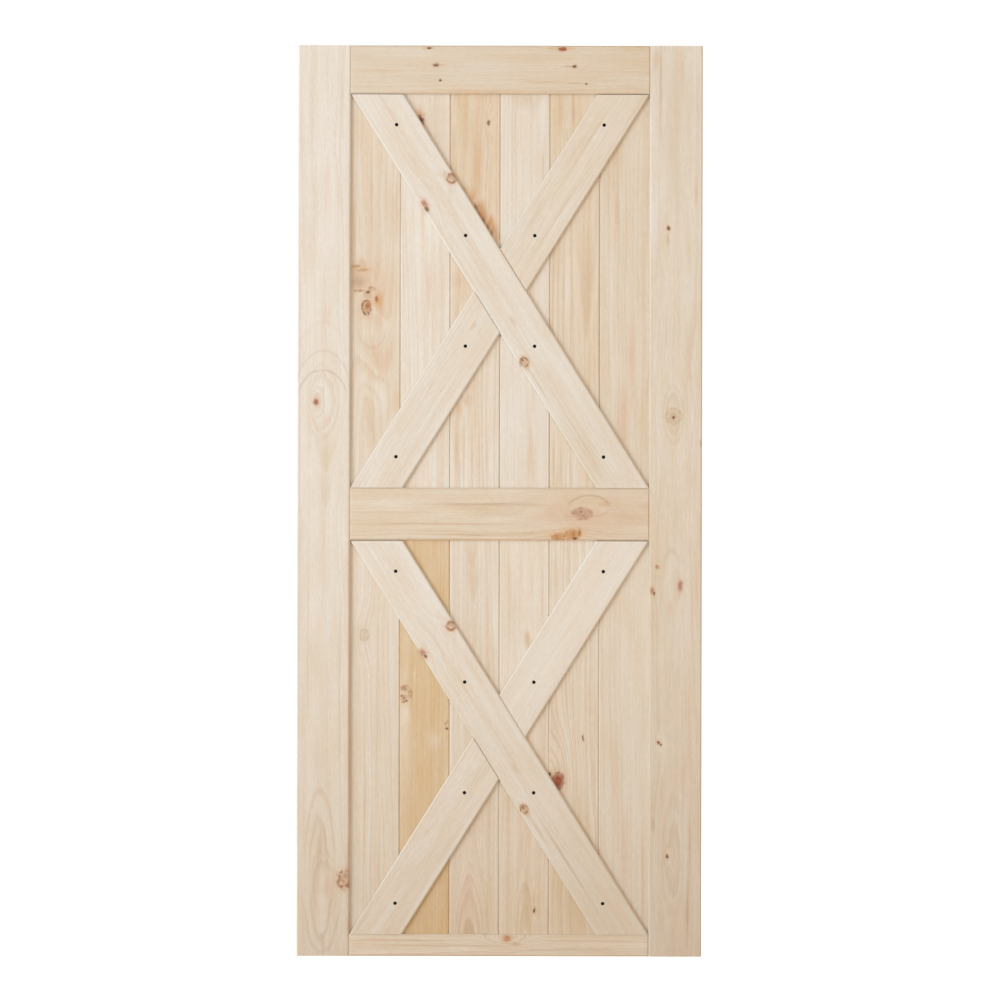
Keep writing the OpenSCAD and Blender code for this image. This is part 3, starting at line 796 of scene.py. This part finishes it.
# Braces
# A cross of flat pine strips on each panel. The long one runs from the top left corner to the bottom
# right, and two halves are mitred against it. Screws through their faces hold them to the boards.
SCREW_HEAD_MM = 8.0
screws_low, screws_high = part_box("upper_brace_screws")
reach = (screws_high - screws_low) / 2 - Vector((1, 1, 1)) * SCREW_HEAD_MM / 2 * MM
DIAGONAL = math.degrees(math.atan2(reach.z, reach.x))
plank(
    "upper_long_brace", -DIAGONAL, pith=(60, -100), ring_mm=10, warmth=0.13, lines=0.12, tone=0.98,
    bands=0.45, warming=0.08,
    knots=[
        (-110, 1756, 11, 10, "ring", 0.8), (-171, 1699, 10, 7, "blush", 1),
        (-166, 1687, 7.5, 5, "fleck", 0), (55, 1342, 11, 9.5, "swirl", 0.8),
        (50, 1347, 4.5, 2.5, "fleck", 0),
    ],
    eyes=[(-142, 1731, 59, 41, 0.8)],
    stains_and_painted_shading=[
        (31, 1434, 18, 7, "tan", 0.35), (-171, 1699, 16, 11, "pink", 0.5), (85, 1294, 68, 4, "tan", 0.4),
        (171, 1187, 136, 3, "brown", 0.25), (-124, 1767, 11, 9, "tan", 0.35),
        (60, 1332, 14, 9, "tan", 0.4), (112, 1421, 14, 5.5, "tan", 0.5),
        (194, 1147, 169, 54, "straw", 0.14),
    ],
)
plank(
    "upper_left_half_brace", DIAGONAL, pith=(-140, -60), ring_mm=9, warmth=0.165, lines=0.12, tone=0.977,
    bands=0.45,
    stains_and_painted_shading=[
        (-60, 1423, 14, 5, "tan", 0.4), (-156, 1287, 23, 3.5, "tan", 0.3),
        (-133, 1276, 14, 2.5, "tan", 0.3),
    ],
)
plank(
    "upper_right_half_brace", DIAGONAL, pith=(-120, -60), ring_mm=9, warmth=0.28, lines=0.18, tone=0.98,
    bands=0.45, warming=0.06,
    stains_and_painted_shading=[
        (187, 1821, 158, 3, "tan", 0.35), (147, 1697, 136, 3, "tan", 0.3), (79, 1674, 68, 7, "tan", 0.2),
    ],
)
plank(
    "lower_long_brace", -DIAGONAL, pith=(70, -100), ring_mm=10, warmth=0.19, lines=0.12, bands=0.45,
    warming=0.15,
    knots=[
        (-109, 745, 10, 10, "ring", 0.8), (-173, 685, 10, 7.5, "blush", 1),
        (-167, 677, 5.5, 3.5, "fleck", 0), (57, 332, 10, 8.5, "swirl", 0.8),
        (54, 336, 4.5, 2.5, "fleck", 0),
    ],
    eyes=[(-138, 712, 59, 41, 0.8)],
    stains_and_painted_shading=[
        (37, 424, 16, 6, "tan", 0.3), (153, 214, 147, 3, "brown", 0.35), (89, 284, 56, 4, "tan", 0.4),
        (64, 323, 14, 9, "tan", 0.4), (-172, 683, 16, 11, "honey", 0.3),
        (205, 135, 158, 54, "straw", 0.19),
    ],
)
plank(
    "lower_left_half_brace", DIAGONAL, pith=(-130, -60), ring_mm=9, warmth=0.23, lines=0.12, tone=1.01,
    bands=0.45, warming=-0.06,
    stains_and_painted_shading=[(-163, 282, 11, 3, "tan", 0.35)],
)
plank(
    "lower_right_half_brace", DIAGONAL, pith=(110, -60), ring_mm=9, warmth=0.15, lines=0.12, bands=0.3,
    warming=-0.08,
    stains_and_painted_shading=[
        (166, 757, 136, 4.5, "pink", 0.2), (173, 757, 452, 90, "pale", 0.3),
    ],
)

# Brace screws
# Countersunk steel screws with a cross recess, blackened with phosphate so that they stay dark and
# dull. Four stand along each diagonal, driven just below the face of the brace.
SHANK_MM = 4.0
RIM_MM = 0.4
POINT_MM = 8.0
RECESS_SPAN_MM = 4.8
RECESS_WING_MM = 1.1
RECESS_DEPTH_MM = 1.8
SCREWS_PER_DIAGONAL = 4
ROUND = 32
SPIN_SEED = 7
MERGE_MM = 0.001

# Steel under a black phosphate coat: its grit, drawn coarser here so that it shows, takes the shine off
# and leaves the heads dull
GRIT_MM = 0.6
GRIT_RELIEF_MM = 0.05
GRIT_RELIEF_SHARE = 0.3
SMOOTH_GRIT = 0.6
ROUGH_GRIT = 0.8
COAT_SPECULAR = 0.25
PHOSPHATE_DARK = "#0F0D0C"
PHOSPHATE_PALE = "#221E1B"
black_phosphate = bpy.data.materials.new("black phosphated steel")
black_phosphate.use_nodes = True
tree = black_phosphate.node_tree
tree.nodes.clear()
place = node(tree, "ShaderNodeTexCoord", out="Object")
grit = node(tree, "ShaderNodeTexNoise", named={"Vector": place, "Scale": 1 / (GRIT_MM * MM), "Detail": 3.0})
dull = node(
    tree, "ShaderNodeMix", grit, data_type="RGBA", out=MIXED,
    named={COLOUR_A: linear(PHOSPHATE_DARK), COLOUR_B: linear(PHOSPHATE_PALE)},
)
rough = node(tree, "ShaderNodeMapRange", grit, *NOISE_RANGE, SMOOTH_GRIT, ROUGH_GRIT)
bump = node(tree, "ShaderNodeBump", GRIT_RELIEF_SHARE, GRIT_RELIEF_MM * MM, named={"Height": grit})
shader = node(
    tree, "ShaderNodeBsdfPrincipled",
    named={"Base Color": dull, "Roughness": rough, "Specular IOR Level": COAT_SPECULAR, "Normal": bump},
)
node(tree, "ShaderNodeOutputMaterial", shader)

screw_tree, given = new_group(
    "brace screws", "GeometryNodeTree",
    {"Centre": "Vector", "Reach": "Vector", "Counter Reach": "Vector", "Count": "Int", "Length": "Float",
     "Head Radius": "Float", "Shank Radius": "Float", "Rim": "Float", "Point": "Float",
     "Recess Span": "Float", "Recess Wing": "Float", "Recess Depth": "Float", "Material": "Material"},
    {"Geometry": "Geometry"},
)
tree = screw_tree
cone_depth = node(tree, "ShaderNodeMath", given["Head Radius"], given["Shank Radius"], operation="SUBTRACT")
shank_top = node(tree, "ShaderNodeMath", cone_depth, given["Rim"], operation="ADD")
shank_end = node(tree, "ShaderNodeMath", given["Length"], given["Point"], operation="SUBTRACT")
shank_length = node(tree, "ShaderNodeMath", shank_end, shank_top, operation="SUBTRACT")
# Each stretch of a screw from its head down: its start, its depth and the radii of its two ends
stations = [
    (0.0, given["Rim"], given["Head Radius"], given["Head Radius"]),
    (given["Rim"], cone_depth, given["Head Radius"], given["Shank Radius"]),
    (shank_top, shank_length, given["Shank Radius"], given["Shank Radius"]),
    (shank_end, given["Point"], given["Shank Radius"], 0.0),
]
blank = node(tree, "GeometryNodeJoinGeometry")
head_top = node(
    tree, "GeometryNodeMeshCircle", fill_type="NGON",
    named={"Vertices": ROUND, "Radius": given["Head Radius"]},
)
tree.links.new(head_top, blank.node.inputs[0])
for top, depth, top_radius, bottom_radius in stations:
    cone = node(
        tree, "GeometryNodeMeshCone", fill_type="NONE",
        named={"Vertices": ROUND, "Radius Top": top_radius, "Radius Bottom": bottom_radius, "Depth": depth},
    )
    foot = node(tree, "ShaderNodeMath", top, depth, operation="ADD")
    foot = node(tree, "ShaderNodeMath", foot, -1.0, operation="MULTIPLY")
    shift = node(tree, "ShaderNodeCombineXYZ", named={"Z": foot})
    cone = node(tree, "GeometryNodeTransform", named={"Geometry": cone, "Translation": shift})
    tree.links.new(cone, blank.node.inputs[0])
blank = node(tree, "GeometryNodeMergeByDistance", named={"Geometry": blank, "Distance": MERGE_MM * MM})
cut = node(tree, "GeometryNodeMeshBoolean", named={"Mesh 1": blank}, operation="DIFFERENCE", solver="EXACT")
# The cutting boxes stand half above the head, so they are twice as deep as the recess
recess_cut_depth = node(tree, "ShaderNodeMath", given["Recess Depth"], 2.0, operation="MULTIPLY")
for span, wing in (("Recess Span", "Recess Wing"), ("Recess Wing", "Recess Span")):
    size = node(tree, "ShaderNodeCombineXYZ", given[span], given[wing], recess_cut_depth)
    box = node(tree, "GeometryNodeMeshCube", size)
    tree.links.new(box, cut.node.inputs["Mesh 2"])
lines = node(tree, "GeometryNodeJoinGeometry")
for diagonal in ("Reach", "Counter Reach"):
    start = node(tree, "ShaderNodeVectorMath", given["Centre"], given[diagonal], operation="SUBTRACT")
    end = node(tree, "ShaderNodeVectorMath", given["Centre"], given[diagonal], operation="ADD")
    line = node(
        tree, "GeometryNodeMeshLine", mode="END_POINTS", count_mode="TOTAL",
        named={"Count": given["Count"], "Start Location": start, "Offset": end},
    )
    tree.links.new(line, lines.node.inputs[0])
spin = node(
    tree, "FunctionNodeRandomValue", named={"Min": 0.0, "Max": math.pi, "Seed": SPIN_SEED},
    data_type="FLOAT", out=1,
)
spin = node(tree, "ShaderNodeCombineXYZ", named={"Z": spin})
spin = node(tree, "FunctionNodeEulerToRotation", spin)
facing = node(tree, "FunctionNodeRotateRotation", (math.pi / 2, 0.0, 0.0), spin, rotation_space="LOCAL")
screws = node(
    tree, "GeometryNodeInstanceOnPoints", named={"Points": lines, "Instance": cut, "Rotation": facing},
)
screws = node(tree, "GeometryNodeRealizeInstances", screws)
screws = node(tree, "GeometryNodeSetMaterial", named={"Geometry": screws, "Material": given["Material"]})
node(tree, "NodeGroupOutput", screws)

socket_of = {
    item.name: item.identifier for item in screw_tree.interface.items_tree if item.in_out == "INPUT"
}
for panel in ("upper", "lower"):
    low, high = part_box(panel + "_brace_screws")
    middle = (low + high) / 2
    carrier = bpy.data.objects.new(panel + "_screws", bpy.data.meshes.new(panel + "_screws"))
    bpy.context.scene.collection.objects.link(carrier)
    maker = carrier.modifiers.new("screws", "NODES")
    maker.node_group = screw_tree
    sizes = {
        "Centre": (middle.x, low.y, middle.z), "Reach": (reach.x, 0.0, reach.z),
        "Counter Reach": (reach.x, 0.0, -reach.z), "Count": SCREWS_PER_DIAGONAL, "Length": high.y - low.y,
        "Head Radius": SCREW_HEAD_MM / 2 * MM, "Shank Radius": SHANK_MM / 2 * MM, "Rim": RIM_MM * MM,
        "Point": POINT_MM * MM, "Recess Span": RECESS_SPAN_MM * MM, "Recess Wing": RECESS_WING_MM * MM,
        "Recess Depth": RECESS_DEPTH_MM * MM, "Material": black_phosphate,
    }
    for name, value in sizes.items():
        maker[socket_of[name]] = value
    made = carrier.evaluated_get(bpy.context.evaluated_depsgraph_get())
    mesh = bpy.data.meshes.new_from_object(made)
    carrier.modifiers.clear()
    carrier.data = mesh
    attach(carrier, "root")
    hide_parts(panel + "_brace_screws")

# Floor and light
# A white studio: a matt floor that only keeps the door's shadow, and walls that give brighter, cooler
# light from the left and dimmer, warmer light from the right. One broad soft lamp at the front left
# brightens the bevels that face it.
BACKDROP = "#FFFFFF"
SHOWN_SURROUND = 1.04
SHOWN_FLOOR = 0.82
FLOOR_BOUNCE = "#DCCBB6"
FLOOR_RADIUS = 2.0
FLOOR_SIDES = 96
LEFT_WALL = "#DEEEFF"
RIGHT_WALL = "#FFDEB4"
LEFT_LIGHT = 1.55
RIGHT_LIGHT = 0.66
LEVEL_SHARE = 1.4
OVERHEAD_SHARE = 0.2
LAMP_PLACE = (-4.0, -3.8, 1.3)
LAMP_SIZE = 2.8
LAMP_WATTS = 80


def seen(tree):
    """1 for rays that look at a surface directly, in a mirror or through glass, and 0 for its light."""
    path = node(tree, "ShaderNodeLightPath").node.outputs
    either = node(tree, "ShaderNodeMath", path["Is Camera Ray"], path["Is Glossy Ray"], operation="MAXIMUM")
    return node(tree, "ShaderNodeMath", either, path["Is Transmission Ray"], operation="MAXIMUM")


# Matt white floor: the eye sees plain white with a soft shadow, and the door gets a warm bounce
white_floor = bpy.data.materials.new("matt white floor")
white_floor.use_nodes = True
tree = white_floor.node_tree
tree.nodes.clear()
glow = node(tree, "ShaderNodeMath", seen(tree), SHOWN_FLOOR, operation="MULTIPLY")
glow = node(tree, "ShaderNodeEmission", named={"Strength": glow})
matt = node(tree, "ShaderNodeBsdfDiffuse", linear(FLOOR_BOUNCE))
node(tree, "ShaderNodeOutputMaterial", node(tree, "ShaderNodeAddShader", glow, matt))

disc = bmesh.new()
bmesh.ops.create_circle(disc, cap_ends=True, radius=FLOOR_RADIUS, segments=FLOOR_SIDES)
floor_mesh = bpy.data.meshes.new("floor")
disc.to_mesh(floor_mesh)
disc.free()
floor_mesh.materials.append(white_floor)
floor = bpy.data.objects.new("floor", floor_mesh)
bpy.context.scene.collection.objects.link(floor)

world = bpy.data.worlds.new("white studio")
bpy.context.scene.world = world
world.use_nodes = True
tree = world.node_tree
tree.nodes.clear()
looked_at = seen(tree)
toward = node(tree, "ShaderNodeTexCoord", out="Generated")
toward = node(tree, "ShaderNodeSeparateXYZ", toward).node.outputs
aside = node(tree, "ShaderNodeMapRange", toward["X"], -1.0, 1.0, 0.0, 1.0)
walls = node(
    tree, "ShaderNodeMix", aside, named={COLOUR_A: linear(LEFT_WALL), COLOUR_B: linear(RIGHT_WALL)},
    data_type="RGBA", out=MIXED,
)
walls = node(
    tree, "ShaderNodeMix", looked_at, named={COLOUR_A: walls, COLOUR_B: linear(BACKDROP)},
    data_type="RGBA", out=MIXED,
)
strength = node(tree, "ShaderNodeMapRange", aside, 0.0, 1.0, LEFT_LIGHT, RIGHT_LIGHT)
height = node(tree, "ShaderNodeMath", toward["Z"], operation="ABSOLUTE")
height = node(tree, "ShaderNodeMapRange", height, 0.0, 1.0, LEVEL_SHARE, OVERHEAD_SHARE)
strength = node(tree, "ShaderNodeMath", strength, height, operation="MULTIPLY")
strength = node(tree, "ShaderNodeMapRange", looked_at, 0.0, 1.0, strength, SHOWN_SURROUND)
surround = node(tree, "ShaderNodeBackground", walls, strength)
node(tree, "ShaderNodeOutputWorld", surround)

door_middle = (cad_box[0] + cad_box[1]) / 2
lamp_data = bpy.data.lights.new("soft lamp", "AREA")
lamp_data.shape = "DISK"
lamp_data.size = LAMP_SIZE
lamp_data.energy = LAMP_WATTS
lamp = bpy.data.objects.new("soft lamp", lamp_data)
lamp.location = LAMP_PLACE
lamp.rotation_euler = (door_middle - lamp.location).to_track_quat("-Z", "Y").to_euler()
bpy.context.scene.collection.objects.link(lamp)

# Camera
# Square on to the door's front at half its height, with a long lens, framed as in the photograph,
# where the whole door stands with a narrow margin above and below.
CAMERA_DISTANCE = 6.0
PICTURE_WIDTH = 2.258
PICTURE_SHIFT_RIGHT = 0.0008
PICTURE_SHIFT_UP = 0.002
PICTURE_TURN_DEG = -0.12
SENSOR_MM = 36.0
camera_data = bpy.data.cameras.new("camera")
camera_data.sensor_width = SENSOR_MM
camera_data.lens = SENSOR_MM * CAMERA_DISTANCE / PICTURE_WIDTH
camera = bpy.data.objects.new("camera", camera_data)
camera.location = (PICTURE_SHIFT_RIGHT, cad_box[0].y - CAMERA_DISTANCE, door_middle.z + PICTURE_SHIFT_UP)
camera.rotation_euler = (math.pi / 2, math.radians(PICTURE_TURN_DEG), 0.0)
bpy.context.scene.collection.objects.link(camera)
bpy.context.scene.camera = camera
bpy.context.scene.view_settings.view_transform = "Standard"
